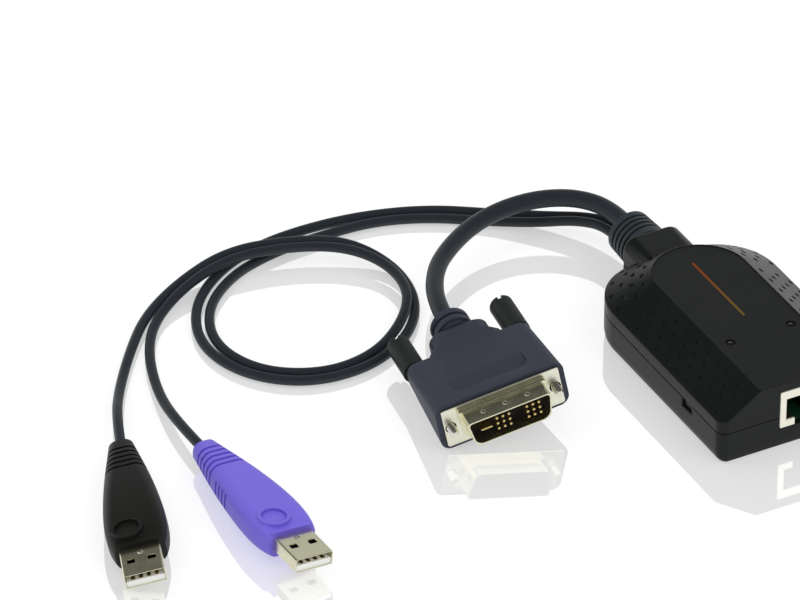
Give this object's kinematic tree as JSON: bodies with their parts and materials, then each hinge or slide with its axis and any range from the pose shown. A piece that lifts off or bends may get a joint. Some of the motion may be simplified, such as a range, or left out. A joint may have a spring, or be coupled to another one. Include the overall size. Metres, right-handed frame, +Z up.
{
  "type": "kvm dongle",
  "caption": "Server-side switch module in a sloped plastic housing with a network socket, a video plug and keyboard and mouse plugs on captive cables.",
  "frame": {"origin": "bottom centre of the housing with its grommet, on the surface that it stands on", "axes": "+Z up, +Y from the network socket to the cable exit, +X to the right seen from the socket end"},
  "size_m": [0.2381, 0.165, 0.0229],
  "materials": {
    "case_plastic": "satin black",
    "stripe_ink": "gloss orange",
    "board_laminate": "gloss",
    "chip_resin": "matte",
    "jack_nylon": "satin ivory",
    "gold_plate": "gold plate",
    "light_pipe": "clear",
    "grommet_rubber": "satin",
    "cable_jacket": "satin",
    "video_boot_plastic": "satin",
    "nickel_plate": "nickel plate",
    "contact_block": "matte",
    "knob_plastic": "satin",
    "black_boot_plastic": "satin",
    "violet_boot_plastic": "satin",
    "white_insulator": "satin"
  },
  "bodies": {
    "dongle": {"lower_housing": "case_plastic", "upper_housing": "case_plastic", "accent_stripe": "stripe_ink", "circuit_board": "board_laminate", "main_chip": "chip_resin", "cable_header": "jack_nylon", "network_jack": "jack_nylon", "jack_contacts": "gold_plate", "left_status_led": "jack_nylon", "right_status_led": "jack_nylon", "left_light_pipe": "light_pipe", "right_light_pipe": "light_pipe", "cable_grommet": "grommet_rubber", "black_cable": "cable_jacket", "violet_cable": "cable_jacket", "video_cable": "cable_jacket", "video_plug_boot": "video_boot_plastic", "video_plug_flange": "nickel_plate", "video_plug_shell": "nickel_plate", "video_plug_insulator": "contact_block", "video_plug_pins": "gold_plate", "video_plug_blade": "gold_plate", "black_plug_boot": "black_boot_plastic", "black_plug_shell": "nickel_plate", "black_plug_insulator": "white_insulator", "black_plug_contacts": "gold_plate", "violet_plug_boot": "violet_boot_plastic", "violet_plug_shell": "nickel_plate", "violet_plug_insulator": "white_insulator", "violet_plug_contacts": "gold_plate"},
    "left_thumbscrew": {"left_thumbscrew_knob": "knob_plastic", "left_thumbscrew_screw": "nickel_plate"},
    "right_thumbscrew": {"right_thumbscrew_knob": "knob_plastic", "right_thumbscrew_screw": "nickel_plate"}
  },
  "joints": [
    {"name": "left_thumbscrew_turn", "type": "hinge", "parent": "dongle", "child": "left_thumbscrew", "pos_m": [-0.09388, -0.009, 0.00828], "axis": [-0.1288, -0.9917, 0], "continuous": true},
    {"name": "right_thumbscrew_turn", "type": "hinge", "parent": "dongle", "child": "right_thumbscrew", "pos_m": [-0.06152, -0.0132, 0.01492], "axis": [-0.1288, -0.9917, 0], "continuous": true}
  ]
}
